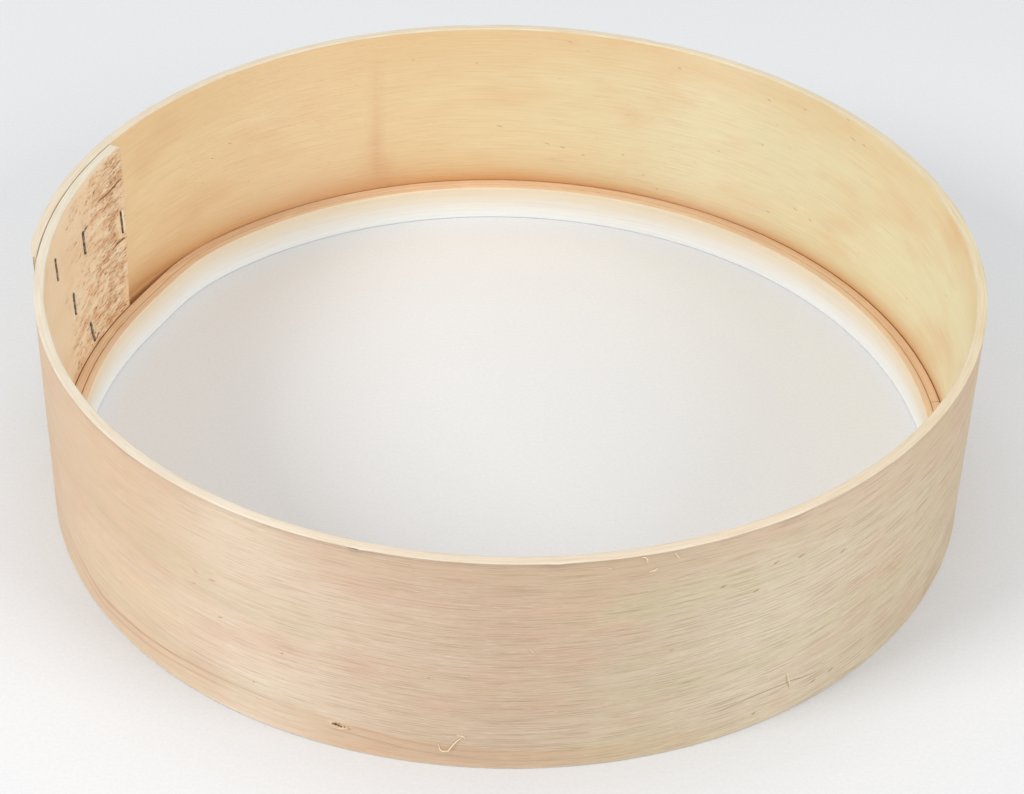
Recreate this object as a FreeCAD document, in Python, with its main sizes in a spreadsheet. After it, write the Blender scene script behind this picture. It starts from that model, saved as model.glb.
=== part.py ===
import FreeCAD, Part
import math
import os
import Sketcher

# Bentwood hoop of a kitchen steamer or sieve: one thin strip of wood bent round into a
# drum wall, lapped and stapled, with two narrower hoops sprung inside its foot as a ledge.
# The origin is the centre of the foot, +Z is up, and angles are polar angles about +Z:
# 0 is +X and 90 is +Y. Lengths are in millimetres and angles in degrees.

SIZES = [
    # drum wall
    ("outer_radius", 150.0),
    ("wall_height", 77.0),
    ("wall_thickness", 3.3),
    ("edge_softening", 0.5),
    # lap: the strip's inner end lies under its outer end, from the one angle to the other
    ("lap_gap", 0.2),
    ("inner_end_angle", 155.5),
    ("outer_end_angle", 183.6),
    ("end_corner_radius", 2.5),
    ("end_bevel_angle", 3.3),
    ("end_bevel_depth", 1.5),
    # past the lap the wall swings out to its full radius along a straighter and a tighter arc
    ("swing_straight_radius", 152.8),
    ("swing_tight_radius", 143.8),
    ("swing_end_angle", 248.0),
    # foot hoops
    ("foot_height", 13.0),
    ("foot_fit", 0.1),
    ("ledge_thickness", 3.1),
    ("liner_thickness", 2.6),
    ("foot_softening", 0.4),
    ("butt_gap", 0.3),
    ("ledge_butt_angle", 5.5),
    ("liner_butt_angle", -84.0),
    # the foot hoops leave the wall here, to bridge the step at the strip's inner end
    ("bridge_start_angle", 137.0),
    ("bridge_tight_radius", 83.0),
    ("bridge_straight_radius", 1500.0),
    # flat-wire staples
    ("crown_length", 9.0),
    ("wire_width", 0.75),
    ("wire_thickness", 0.6),
    ("leg_length", 6.0),
    ("folded_leg_length", 3.7),
    ("folded_leg_thickness", 0.42),
    ("crown_proud", 0.3),
    ("slot_clearance", 0.05),
]

# Staples of the lap: name, polar angle, height of the crown's middle, lean of the crown's
# top towards the strip's outer end, how deep the crown is sunk, and the leg that folded
# over on the wood in place of going in.
STAPLES = [
    ("lap_staple_1", 179.0, 64.2, 7.0, 0.0, None),
    ("lap_staple_2", 167.4, 55.7, 4.0, 0.0, "top"),
    ("lap_staple_3", 156.6, 47.5, 3.0, 0.35, None),
    ("lap_staple_4", 172.6, 40.0, 5.0, 0.0, None),
    ("lap_staple_5", 167.3, 19.6, 14.0, 0.0, "bottom"),
]

CENTRE = (0.0, 0.0)
UP = FreeCAD.Vector(0, 0, 1)
# how closely a length, or a direction, must agree when an edge is picked out
SAME_LENGTH = 0.001
SAME_ANGLE = 0.1

doc = FreeCAD.newDocument("bentwood_hoop")
sheet = doc.addObject("Spreadsheet::Sheet", "Sizes")
for row, (alias, value) in enumerate(SIZES, start=1):
    sheet.set("A%d" % row, alias)
    sheet.set("B%d" % row, str(value))
    sheet.setAlias("B%d" % row, alias)
doc.recompute()


def size(alias):
    """A driving dimension, read from the sheet."""
    return float(getattr(sheet, alias))


# --- plane geometry of the faces ---------------------------------------------------------

def polar(radius, angle):
    """Point of the XY plane at a radius and a polar angle."""
    return (radius * math.cos(math.radians(angle)), radius * math.sin(math.radians(angle)))


def swing(inner_radius, outer_radius, straight_radius, tight_radius):
    """Two tangent arcs between two concentric circles: their centres' distances from the
    common centre, and the angle that they span together."""
    straight_offset = straight_radius - inner_radius
    tight_offset = outer_radius - tight_radius
    centre_distance = straight_radius - tight_radius
    cosine = (centre_distance ** 2 - straight_offset ** 2 - tight_offset ** 2) / (
        2 * straight_offset * tight_offset)
    return straight_offset, tight_offset, math.degrees(math.acos(cosine))


def direction(start, end, near):
    """Polar angle of the line from one point to another, within half a turn of an angle."""
    angle = math.degrees(math.atan2(end[1] - start[1], end[0] - start[0]))
    return angle + 360 * round((near - angle) / 360)


def wall_swing():
    """Centres, start angle and joining angle of the swing past the lap."""
    outer = size("outer_radius")
    lap = outer - size("wall_thickness") - size("lap_gap")
    straight_offset, tight_offset, span = swing(
        lap, outer, size("swing_straight_radius"), size("swing_tight_radius"))
    end = size("swing_end_angle")
    start = end - span
    straight_centre = polar(-straight_offset, start)
    tight_centre = polar(tight_offset, end)
    join = direction(straight_centre, tight_centre, (start + end) / 2)
    return straight_centre, tight_centre, start, join, end


def bridge_swing():
    """Centres, joining angle and end angle of the foot hoops' bridge over the step."""
    main = size("outer_radius") - size("wall_thickness")
    lap = main - size("wall_thickness") - size("lap_gap")
    straight_offset, tight_offset, span = swing(
        lap, main, size("bridge_straight_radius"), size("bridge_tight_radius"))
    start = size("bridge_start_angle")
    end = start + span
    straight_centre = polar(-straight_offset, end)
    tight_centre = polar(tight_offset, start)
    join = direction(straight_centre, tight_centre, (start + end) / 2)
    return tight_centre, straight_centre, start, join, end


def lap_face_radius(angle):
    """Distance from the axis to the inner face of the lap at a polar angle."""
    straight_centre, _, start, _, _ = wall_swing()
    if angle <= start:
        return size("outer_radius") - 2 * size("wall_thickness") - size("lap_gap")
    return radius_on_arc(straight_centre, size("swing_straight_radius") - size("wall_thickness"), angle)


def radius_on_arc(centre, radius, angle):
    """Distance from the axis to an arc with its own centre, at a polar angle."""
    ray = polar(1.0, angle)
    along = centre[0] * ray[0] + centre[1] * ray[1]
    across_squared = centre[0] ** 2 + centre[1] ** 2 - along ** 2
    return along + math.sqrt(radius ** 2 - across_squared)


# --- sketching helpers -------------------------------------------------------------------

def origin_plane(body, role):
    """One of a body's own origin planes."""
    return next(item for item in body.Origin.OriginFeatures if item.Role == role)


def new_sketch(body, name, role):
    """Sketch on an origin plane of its body."""
    sketch = body.newObject("Sketcher::SketchObject", name)
    sketch.AttachmentSupport = [(origin_plane(body, role), "")]
    sketch.MapMode = "FlatFace"
    return sketch


def add_arc(sketch, centre, radius, start, end):
    """Anticlockwise arc between two angles about its own centre."""
    circle = Part.Circle(FreeCAD.Vector(centre[0], centre[1], 0), UP, radius)
    return sketch.addGeometry(Part.ArcOfCircle(circle, math.radians(start), math.radians(end)), False)


def add_line(sketch, start, end, construction=False):
    """Straight edge, or a construction line, between two points."""
    points = [FreeCAD.Vector(point[0], point[1], 0) for point in (start, end)]
    return sketch.addGeometry(Part.LineSegment(*points), construction)


def constrain(sketch, *definition):
    """Add a constraint that needs no value."""
    return sketch.addConstraint(Sketcher.Constraint(*definition))


def drive(sketch, name, expression, *definition):
    """Add a constraint whose value follows the sheet."""
    index = sketch.addConstraint(Sketcher.Constraint(*definition))
    sketch.renameConstraint(index, name)
    sketch.setExpression("Constraints." + name, expression)


def tangent_chain(sketch, arcs):
    """Join each arc's end to the next one's start, in the same direction."""
    for first, second in zip(arcs, arcs[1:]):
        constrain(sketch, "Tangent", first, 2, second, 1)


def share_centres(sketch, arcs, models):
    """Give arcs the centres of others."""
    for arc, model in zip(arcs, models):
        constrain(sketch, "Coincident", arc, 3, model, 3)


def centre_on_axis(sketch, arcs):
    """Put arcs' centres on the hoop's axis."""
    for arc in arcs:
        constrain(sketch, "Coincident", arc, 3, -1, 1)


def signed(angle):
    """The same direction, between -180 and 180 degrees."""
    return (angle + 180) % 360 - 180


def drive_angle(sketch, name, expression, line, angle):
    """Hold a line's direction to the sheet, allowing for whole turns."""
    turns = round((signed(angle) - angle) / 360)
    drive(sketch, name, "(%s + %d) * 1deg" % (expression, 360 * turns),
          "Angle", line, math.radians(signed(angle)))


def spoke(sketch, name, expression, arc, end_point, radius, angle):
    """Construction line from the axis that fixes the angle of an arc's end."""
    line = add_line(sketch, CENTRE, polar(radius, angle), construction=True)
    constrain(sketch, "Coincident", line, 1, -1, 1)
    constrain(sketch, "Coincident", line, 2, arc, end_point)
    drive_angle(sketch, name, expression, line, angle)


def pad(body, sketch, length_alias, name="strip"):
    """Pad a sketch to a length from the sheet."""
    feature = body.newObject("PartDesign::Pad", name)
    feature.Profile = sketch
    feature.Length = size(length_alias)
    feature.setExpression("Length", "Sizes." + length_alias)
    doc.recompute()
    return feature


def round_edges(body, base, wanted, alias, name):
    """Fillet the edges of a feature that a test picks out."""
    edges = ["Edge%d" % number for number, edge in enumerate(base.Shape.Edges, start=1) if wanted(edge)]
    fillet = body.newObject("PartDesign::Fillet", name)
    fillet.Base = (base, edges)
    fillet.Radius = size(alias)
    fillet.setExpression("Radius", "Sizes." + alias)
    body.Tip = fillet
    doc.recompute()
    return fillet


def long_edge_at(edge, heights):
    """Whether an edge runs round the hoop at one of these heights."""
    box = edge.BoundBox
    level = box.ZLength < SAME_LENGTH and any(abs(box.ZMin - height) < SAME_LENGTH for height in heights)
    return level and edge.Length > 2 * size("wall_thickness")


# --- drum wall ---------------------------------------------------------------------------

def wall_outline(sketch):
    """Spiral outline of the bent strip, seen from above."""
    straight_centre, tight_centre, start, join, end = wall_swing()
    outer = size("outer_radius")
    thickness = size("wall_thickness")
    gap = size("lap_gap")
    lap = outer - thickness - gap
    straight = size("swing_straight_radius")
    tight = size("swing_tight_radius")
    inner_end = size("inner_end_angle")
    outer_end = size("outer_end_angle") + 360
    bevel_start = outer_end - size("end_bevel_angle")

    outside = [
        add_arc(sketch, CENTRE, lap, inner_end, start),
        add_arc(sketch, straight_centre, straight, start, join),
        add_arc(sketch, tight_centre, tight, join, end),
        add_arc(sketch, CENTRE, outer, end, bevel_start),
    ]
    inside = [
        add_arc(sketch, CENTRE, lap - thickness, inner_end, start),
        add_arc(sketch, straight_centre, straight - thickness, start, join),
        add_arc(sketch, tight_centre, tight - thickness, join, end),
        add_arc(sketch, CENTRE, outer - thickness, end, start + 360),
    ]
    seam_end = polar(radius_on_arc(straight_centre, straight + gap, outer_end), outer_end)
    seam_end_angle = direction(straight_centre, seam_end, start)
    seam = add_arc(sketch, straight_centre, straight + gap, start, seam_end_angle)
    tip = polar(outer - size("end_bevel_depth"), outer_end)
    bevel = add_line(sketch, polar(outer, bevel_start), tip)
    outer_end_face = add_line(sketch, seam_end, tip)
    inner_end_face = add_line(sketch, polar(lap - thickness, inner_end), polar(lap, inner_end))

    centre_on_axis(sketch, [outside[0], outside[3], inside[0], inside[3]])
    share_centres(sketch, inside[1:3] + [seam], outside[1:3] + [outside[1]])
    tangent_chain(sketch, outside)
    tangent_chain(sketch, inside + [seam])
    constrain(sketch, "Coincident", outside[3], 2, bevel, 1)
    constrain(sketch, "Coincident", bevel, 2, outer_end_face, 2)
    constrain(sketch, "Coincident", outer_end_face, 1, seam, 2)
    constrain(sketch, "Coincident", inner_end_face, 1, inside[0], 1)
    constrain(sketch, "Coincident", inner_end_face, 2, outside[0], 1)
    constrain(sketch, "PointOnObject", -1, 1, outer_end_face)
    constrain(sketch, "PointOnObject", -1, 1, inner_end_face)

    drive(sketch, "outer", "Sizes.outer_radius", "Radius", outside[3], outer)
    drive(sketch, "lap", "Sizes.outer_radius - Sizes.wall_thickness - Sizes.lap_gap",
          "Radius", outside[0], lap)
    drive(sketch, "straight", "Sizes.swing_straight_radius", "Radius", outside[1], straight)
    drive(sketch, "tight", "Sizes.swing_tight_radius", "Radius", outside[2], tight)
    drive(sketch, "inner", "Sizes.outer_radius - Sizes.wall_thickness",
          "Radius", inside[3], outer - thickness)
    drive_angle(sketch, "inner_end", "Sizes.inner_end_angle", inner_end_face, inner_end)
    drive_angle(sketch, "outer_end", "Sizes.outer_end_angle", outer_end_face, outer_end - 360)
    spoke(sketch, "swing_end", "Sizes.swing_end_angle", outside[2], 2, outer, end)
    spoke(sketch, "bevel_start", "Sizes.outer_end_angle - Sizes.end_bevel_angle",
          outside[3], 2, outer, bevel_start - 360)


def inner_end_corner(edge):
    """Whether an edge is the top corner of the strip's inner end."""
    middle = edge.BoundBox.Center
    angle = math.degrees(math.atan2(middle.y, middle.x))
    at_end = abs(angle - size("inner_end_angle")) < SAME_ANGLE
    at_top = edge.BoundBox.ZMin > size("wall_height") - SAME_LENGTH
    return at_end and at_top


def make_strip():
    """The bent strip, with its edges softened, before the staples are driven."""
    body = doc.addObject("PartDesign::Body", "wall_strip")
    sketch = new_sketch(body, "strip_outline", "XY_Plane")
    wall_outline(sketch)
    blank = pad(body, sketch, "wall_height")
    cornered = round_edges(body, blank, inner_end_corner, "end_corner_radius", "corner")
    heights = (0.0, size("wall_height"))
    round_edges(body, cornered, lambda edge: long_edge_at(edge, heights), "edge_softening", "soft_edges")
    return body


# --- foot hoops --------------------------------------------------------------------------

def foot_track(inset, butt, half_gap):
    """Arcs of a foot hoop's face, an inset inside the wall, from its butt joint round."""
    tight_bridge, straight_bridge, bridge_start, bridge_join, bridge_end = bridge_swing()
    straight_centre, tight_centre, start, join, end = wall_swing()
    main = size("outer_radius") - size("wall_thickness") - inset
    lap = main - size("wall_thickness") - size("lap_gap")
    wall_inset = size("wall_thickness") + inset
    return [
        (CENTRE, main, butt + half_gap, bridge_start),
        (tight_bridge, size("bridge_tight_radius") - inset, bridge_start, bridge_join),
        (straight_bridge, size("bridge_straight_radius") - inset, bridge_join, bridge_end),
        (CENTRE, lap, bridge_end, start),
        (straight_centre, size("swing_straight_radius") - wall_inset, start, join),
        (tight_centre, size("swing_tight_radius") - wall_inset, join, end),
        (CENTRE, main, end, butt - half_gap + 360),
    ]


def hoop_outline(sketch, inset, inset_words, thickness_alias, butt_alias):
    """Outline of a sprung hoop that follows the wall, cut through at its butt joint."""
    butt = size(butt_alias)
    half_gap = math.degrees(size("butt_gap") / 2 / size("outer_radius"))
    half_gap_words = "Sizes.butt_gap / 2 / Sizes.outer_radius * 180 / pi"
    outer_track = foot_track(inset, butt, half_gap)
    inner_track = foot_track(inset + size(thickness_alias), butt, half_gap)
    outside = [add_arc(sketch, *arc) for arc in outer_track]
    inside = [add_arc(sketch, *arc) for arc in inner_track]
    first_angle = butt + half_gap
    last_angle = butt - half_gap
    inner_radius, outer_radius = inner_track[0][1], outer_track[0][1]
    first_face = add_line(sketch, polar(inner_radius, first_angle), polar(outer_radius, first_angle))
    last_face = add_line(sketch, polar(inner_radius, last_angle), polar(outer_radius, last_angle))

    centre_on_axis(sketch, [outside[0], outside[3], outside[6]])
    share_centres(sketch, inside, outside)
    tangent_chain(sketch, outside)
    tangent_chain(sketch, inside)
    for face, point in ((first_face, 1), (last_face, 2)):
        arcs = (inside[0], outside[0]) if point == 1 else (inside[-1], outside[-1])
        constrain(sketch, "Coincident", face, 1, arcs[0], point)
        constrain(sketch, "Coincident", face, 2, arcs[1], point)
        constrain(sketch, "PointOnObject", -1, 1, face)

    wall_face = "Sizes.outer_radius - Sizes.wall_thickness - " + inset_words
    lap_face = wall_face + " - Sizes.wall_thickness - Sizes.lap_gap"
    radii = [
        ("main", wall_face, 0),
        ("bridge_tight", "Sizes.bridge_tight_radius - " + inset_words, 1),
        ("bridge_straight", "Sizes.bridge_straight_radius - " + inset_words, 2),
        ("lap", lap_face, 3),
        ("straight", "Sizes.swing_straight_radius - Sizes.wall_thickness - " + inset_words, 4),
        ("tight", "Sizes.swing_tight_radius - Sizes.wall_thickness - " + inset_words, 5),
        ("main_again", wall_face, 6),
    ]
    for name, expression, index in radii:
        drive(sketch, name, expression, "Radius", outside[index], outer_track[index][1])
    drive(sketch, "inside", wall_face + " - Sizes." + thickness_alias, "Radius", inside[0], inner_radius)
    butt_words = "Sizes." + butt_alias
    drive_angle(sketch, "butt_first", butt_words + " + " + half_gap_words, first_face, first_angle)
    drive_angle(sketch, "butt_last", butt_words + " - " + half_gap_words, last_face, last_angle)
    spoke(sketch, "bridge_start", "Sizes.bridge_start_angle", outside[0], 2,
          outer_radius, size("bridge_start_angle"))
    spoke(sketch, "swing_end", "Sizes.swing_end_angle", outside[5], 2,
          outer_radius, size("swing_end_angle"))


def make_foot_hoop(name, inset, inset_words, thickness_alias, butt_alias):
    """One of the two narrow hoops inside the foot."""
    body = doc.addObject("PartDesign::Body", name)
    sketch = new_sketch(body, name + "_outline", "XY_Plane")
    hoop_outline(sketch, inset, inset_words, thickness_alias, butt_alias)
    blank = pad(body, sketch, "foot_height")
    heights = (0.0, size("foot_height"))
    round_edges(body, blank, lambda edge: long_edge_at(edge, heights), "foot_softening", "soft_edges")
    return body


# --- staples -----------------------------------------------------------------------------
# A staple's own axes: +X towards the strip's inner end, +Y out through the wall, +Z along
# the crown. Its origin is the middle of the crown's exposed face.

def staple_points(folded):
    """Corners of a staple's side view, as (depth, height), with a chisel point on each leg."""
    half = size("crown_length") / 2
    wire = size("wire_thickness")
    leg = size("leg_length")
    top = [(leg - wire, half - wire), (leg, half)]
    bottom = [(leg, -half), (leg - wire, -half + wire)]
    if folded == "top":
        top = [(wire, half)]
    if folded == "bottom":
        bottom = [(wire, -half)]
    inner_top = [] if folded == "top" else [(wire, half - wire)]
    inner_bottom = [] if folded == "bottom" else [(wire, -half + wire)]
    return [(0.0, half)] + top[::-1] + inner_top + inner_bottom + bottom[::-1] + [(0.0, -half)]


def staple_outline(sketch, folded):
    """Side view of a staple: crown, and the legs that went into the wood."""
    points = staple_points(folded)
    lines = [add_line(sketch, *pair) for pair in zip(points, points[1:] + points[:1])]
    for first, second in zip(lines, lines[1:] + lines[:1]):
        constrain(sketch, "Coincident", first, 2, second, 1)
    constrain(sketch, "Symmetric", lines[-1], 1, lines[-1], 2, -1, 1)
    drive(sketch, "crown", "Sizes.crown_length", "DistanceY", lines[-1], 1, lines[-1], 2,
          size("crown_length"))
    wire_words = "Sizes.wire_thickness"
    leg_words = "Sizes.leg_length"
    depth_words = {size("wire_thickness"): wire_words, size("leg_length"): leg_words,
                   size("leg_length") - size("wire_thickness"): leg_words + " - " + wire_words}
    half = size("crown_length") / 2
    for number, (depth, height) in enumerate(points[1:-1], start=1):
        sign = 1 if height > 0 else -1
        at_edge = abs(abs(height) - half) < SAME_LENGTH
        height_words = "Sizes.crown_length / 2" if at_edge else "Sizes.crown_length / 2 - " + wire_words
        drive(sketch, "depth_%d" % number, depth_words[depth], "DistanceX",
              -1, 1, lines[number], 1, depth)
        if sign > 0:
            drive(sketch, "height_%d" % number, height_words, "DistanceY",
                  -1, 1, lines[number], 1, height)
        else:
            drive(sketch, "height_%d" % number, height_words, "DistanceY",
                  lines[number], 1, -1, 1, -height)


def staple_placement(angle, height, lean, sunk):
    """Stand a staple in the lap's inner face."""
    radius = lap_face_radius(angle) - size("crown_proud") + sunk
    x, y = polar(radius, angle)
    turned = FreeCAD.Rotation(UP, angle - 90)
    leaned = FreeCAD.Rotation(FreeCAD.Vector(0, 1, 0), -lean)
    return FreeCAD.Placement(FreeCAD.Vector(x, y, height), turned.multiply(leaned))


def make_staple(name, angle, height, lean, sunk, folded):
    """One flat-wire staple of the lap."""
    body = doc.addObject("PartDesign::Body", name)
    sketch = new_sketch(body, name + "_outline", "YZ_Plane")
    staple_outline(sketch, folded)
    wire = pad(body, sketch, "wire_width", "wire")
    wire.SideType = "Symmetric"
    body.Tip = wire
    if folded:
        bent = body.newObject("PartDesign::AdditiveBox", "folded_leg")
        bent.setExpression("Length", "Sizes.folded_leg_length")
        bent.setExpression("Width", "Sizes.folded_leg_thickness")
        bent.setExpression("Height", "Sizes.wire_thickness")
        half = size("crown_length") / 2
        base = half - size("wire_thickness") if folded == "top" else -half
        bent.Placement = FreeCAD.Placement(FreeCAD.Vector(0, 0, base), FreeCAD.Rotation())
        body.Tip = bent
    doc.recompute()
    body.Placement = staple_placement(angle, height, lean, sunk)
    return body


def make_slot(name, placement, low, lengths):
    """Box that a staple's wire fills in the wood, in the staple's own axes."""
    box = doc.addObject("Part::Box", name)
    for side, expression in zip(("Length", "Width", "Height"), lengths):
        box.setExpression(side, expression)
    box.Placement = placement.multiply(FreeCAD.Placement(FreeCAD.Vector(*low), FreeCAD.Rotation()))
    return box


def staple_slots(name, angle, height, lean, sunk, folded):
    """Groove for a crown and a hole for each leg that went in."""
    placement = staple_placement(angle, height, lean, sunk)
    clear = size("slot_clearance")
    half = size("crown_length") / 2
    wire = size("wire_thickness")
    across = size("wire_width") / 2 + clear
    width_words = "Sizes.wire_width + 2 * Sizes.slot_clearance"
    wire_words = "Sizes.wire_thickness + 2 * Sizes.slot_clearance"
    slots = [make_slot(name + "_groove", placement, (-across, -wire, -half - clear), (
        width_words,
        "2 * Sizes.wire_thickness + Sizes.slot_clearance",
        "Sizes.crown_length + 2 * Sizes.slot_clearance"))]
    for end, base in (("top", half - wire), ("bottom", -half)):
        if end != folded:
            slots.append(make_slot(name + "_" + end, placement, (-across, 0, base - clear), (
                width_words, "Sizes.leg_length + Sizes.slot_clearance", wire_words)))
        else:
            slots.append(make_slot(name + "_fold", placement, (-across, -wire, base - clear), (
                "Sizes.folded_leg_length + " + width_words,
                "Sizes.wire_thickness + Sizes.folded_leg_thickness + Sizes.slot_clearance",
                wire_words)))
    return slots


def make_wall():
    """The strip with the staples' grooves and holes cut out of it."""
    slots = doc.addObject("Part::MultiFuse", "staple_slots")
    slots.Shapes = [slot for staple in STAPLES for slot in staple_slots(*staple)]
    wall = doc.addObject("Part::Cut", "wall_band")
    wall.Base = make_strip()
    wall.Tool = slots
    doc.recompute()
    return wall


# --- assembly ----------------------------------------------------------------------------

def make_parts():
    """Every separate piece of the object."""
    ledge_inset = size("foot_fit")
    liner_inset = 2 * size("foot_fit") + size("ledge_thickness")
    parts = [
        make_wall(),
        make_foot_hoop("foot_hoop_outer", ledge_inset, "Sizes.foot_fit",
                       "ledge_thickness", "ledge_butt_angle"),
        make_foot_hoop("foot_hoop_inner", liner_inset, "(2 * Sizes.foot_fit + Sizes.ledge_thickness)",
                       "liner_thickness", "liner_butt_angle"),
    ]
    parts += [make_staple(*staple) for staple in STAPLES]
    return parts


def check_document():
    """Stop if any object of the document failed to compute."""
    for item in doc.Objects:
        failed = [state for state in item.State if state in ("Invalid", "Error")]
        if failed:
            raise RuntimeError("%s is %s" % (item.Label, failed))


def export(parts):
    """Write each piece to its own STEP file."""
    os.makedirs("parts", exist_ok=True)
    for part in parts:
        shape = part.Shape
        if shape.isNull() or not shape.isValid():
            raise RuntimeError(part.Label + " has no valid shape")
        print("%-18s %d solid, %.1f mm3" % (part.Label, len(shape.Solids), shape.Volume))
    for part in parts:
        part.Shape.exportStep("parts/%s.step" % part.Label)


parts = make_parts()
doc.recompute()
check_document()
export(parts)
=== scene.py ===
import math
from types import SimpleNamespace

import bpy
import numpy as np
from mathutils import Matrix, Vector


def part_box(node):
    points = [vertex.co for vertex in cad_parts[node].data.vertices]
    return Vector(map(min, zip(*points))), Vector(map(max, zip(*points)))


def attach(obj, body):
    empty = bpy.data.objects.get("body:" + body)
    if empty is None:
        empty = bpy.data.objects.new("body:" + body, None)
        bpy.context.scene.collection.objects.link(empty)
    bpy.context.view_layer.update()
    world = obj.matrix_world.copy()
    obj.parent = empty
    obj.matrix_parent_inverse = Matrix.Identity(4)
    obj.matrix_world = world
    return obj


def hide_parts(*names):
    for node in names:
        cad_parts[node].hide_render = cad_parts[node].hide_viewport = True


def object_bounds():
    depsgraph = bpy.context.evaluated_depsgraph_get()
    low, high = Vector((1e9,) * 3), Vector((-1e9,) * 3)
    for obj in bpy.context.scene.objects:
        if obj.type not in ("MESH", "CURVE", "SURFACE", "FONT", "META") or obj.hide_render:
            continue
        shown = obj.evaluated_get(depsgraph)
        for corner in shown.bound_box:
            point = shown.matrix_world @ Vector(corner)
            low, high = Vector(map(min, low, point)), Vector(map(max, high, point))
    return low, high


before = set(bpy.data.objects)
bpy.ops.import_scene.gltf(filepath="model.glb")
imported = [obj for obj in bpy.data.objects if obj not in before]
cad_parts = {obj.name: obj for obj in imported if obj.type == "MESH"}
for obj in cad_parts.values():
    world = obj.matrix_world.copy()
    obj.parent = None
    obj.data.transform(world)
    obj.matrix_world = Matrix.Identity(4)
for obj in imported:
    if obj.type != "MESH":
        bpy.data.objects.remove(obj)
cad_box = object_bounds()

# Bentwood steamer ring: one strip of pale veneer bent into a drum wall, lapped and stapled,
# with two narrow hoops inside its foot. Metres, with the origin at the centre of the foot
# and +Z up. Angles are polar angles in degrees: 0 is +X, 90 is +Y, the back, and 180 the lap.
# On the strip they run on past 360, so that each layer of the lap has its own.

LOW, HIGH = (Vector(corner) for corner in cad_box)
RADIUS = (HIGH.x - LOW.x) / 2
HEIGHT = HIGH.z - LOW.z
HOOP_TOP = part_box("foot_hoop_outer")[1][2]

# The bent strip, as the CAD has it
THICKNESS = 0.0033
LAP_GAP = 0.0002
INNER_END, OUTER_END = 155.5, 183.6 + 360
BEVEL_ANGLE, BEVEL_DEPTH = 3.3, 0.0015
SWING_STRAIGHT, SWING_TIGHT, SWING_END = 0.1528, 0.1438, 248.0
EDGE_ROUND = 0.0005
END_CORNER = 0.0025
LEAN = 1.0  # how far the inner end leans at the foot, in degrees
LAP_RADIUS = RADIUS - 2 * THICKNESS - LAP_GAP

# Middle of the stretch where the foot hoops bridge the step at the strip's inner end, and the
# same clockwise from +Y in radians
BRIDGE_ANGLE = 147.0
BRIDGE_TURN = math.radians(90 - BRIDGE_ANGLE)

# Staples, as the CAD has them: angle, height and lean of the crown
STAPLES = [(179.0, 0.0642, 7.0), (167.4, 0.0557, 4.0), (156.6, 0.0475, 3.0),
           (172.6, 0.0400, 5.0), (167.3, 0.0196, 14.0)]
CROWN = 0.009

# Splits along the grain from the strip's inner end: height, length, half-width at the end
SPLITS = [(0.0636, 0.0175, 0.00030), (0.0408, 0.0105, 0.00026)]

# Pin knot outside, near the foot
KNOT_ANGLE, KNOT_HEIGHT = 252.9, 0.0090
KNOT_LENGTH, KNOT_HALF_HEIGHT = 0.0050, 0.0011

# Growth line outside, near the foot: angle and height
GROWTH_LINE = [(186, 0.0140), (204.5, 0.0128), (216.5, 0.0068), (227, 0.0088), (235, 0.0108),
               (248, 0.0117), (260, 0.0094), (275, 0.0078), (300, 0.0070), (360, 0.0066)]

# Long fine crack outside on the right: angle and height, and the angle of its middle
CRACK = [(292.0, 0.0096), (298.2, 0.0119), (301.5, 0.0123), (305.2, 0.0119), (307.6, 0.0104),
         (312.0, 0.0099)]
CRACK_MIDDLE = 302.8

# Angle of the faint upright stain inside at the back
STAIN_ANGLE = 469.8

# Short fibres that stand off the torn face of the lap
TORN_FIBRES = 150

# Colours that several materials share, in sRGB
WHITE = (255, 255, 255)
# PAINTED_SEAM_SHADOW is painted shadow along the joins of the wall and the foot hoops
PAINTED_SEAM_SHADOW = (172, 108, 60)

# How far the studio floor lies under the foot, so that the two faces never coincide
FLOOR_DROP = 0.00005


def linear(red, green, blue):
    """Linear colour of an sRGB shade given in 0 to 255."""
    shades = [value / 255 for value in (red, green, blue)]
    return tuple(c / 12.92 if c <= 0.04045 else ((c + 0.055) / 1.055) ** 2.4 for c in shades) + (1.0,)


# --- camera, light and floor -------------------------------------------------------------

def make_camera():
    """Long lens well above the rim, looking down into the hoop."""
    data = bpy.data.cameras.new("camera")
    data.sensor_width = 36.0
    data.lens = 88.3
    data.clip_start = 0.01
    camera = bpy.data.objects.new("camera", data)
    bpy.context.collection.objects.link(camera)
    place = Matrix.Translation((0.018 * RADIUS, -4.403 * RADIUS, HEIGHT + 2.916 * RADIUS))
    tilt = Matrix.Rotation(math.radians(90 - 36.79), 4, "X")
    roll = Matrix.Rotation(math.radians(1.59), 4, "Z")
    camera.matrix_world = place @ tilt @ roll
    bpy.context.scene.camera = camera


def add_light(name, azimuth, elevation, distance, size, power, colour):
    """Square soft box that faces the middle of the hoop."""
    data = bpy.data.lights.new(name, "AREA")
    data.size = size
    data.energy = power
    data.color = colour
    light = bpy.data.objects.new(name, data)
    bpy.context.collection.objects.link(light)
    middle = Vector((0, 0, HEIGHT / 2))
    turn, rise = math.radians(azimuth), math.radians(elevation)
    level = distance * math.cos(rise)
    offset = Vector((level * math.cos(turn), level * math.sin(turn), distance * math.sin(rise)))
    light.location = middle + offset
    light.rotation_euler = (-offset).to_track_quat("-Z", "Y").to_euler()


def make_lights():
    """Soft studio light: key from the left, fill from the right, a little from above, pale sky."""
    add_light("key", -146, 36, 1.6, 0.5, 12.5, (1.0, 0.99, 0.97))
    add_light("fill", -32, 30, 1.7, 0.8, 10.5, (1.0, 1.0, 0.99))
    add_light("top", 90, 80, 1.7, 0.9, 4.5, (1.0, 1.0, 1.0))
    world = bpy.data.worlds.new("studio")
    world.use_nodes = True
    sky = world.node_tree.nodes["Background"]
    sky.inputs["Color"].default_value = (0.98, 0.99, 1.0, 1)
    sky.inputs["Strength"].default_value = 0.65
    bpy.context.scene.world = world
    bpy.context.scene.view_settings.view_transform = "Standard"


# --- material helpers --------------------------------------------------------------------

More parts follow.
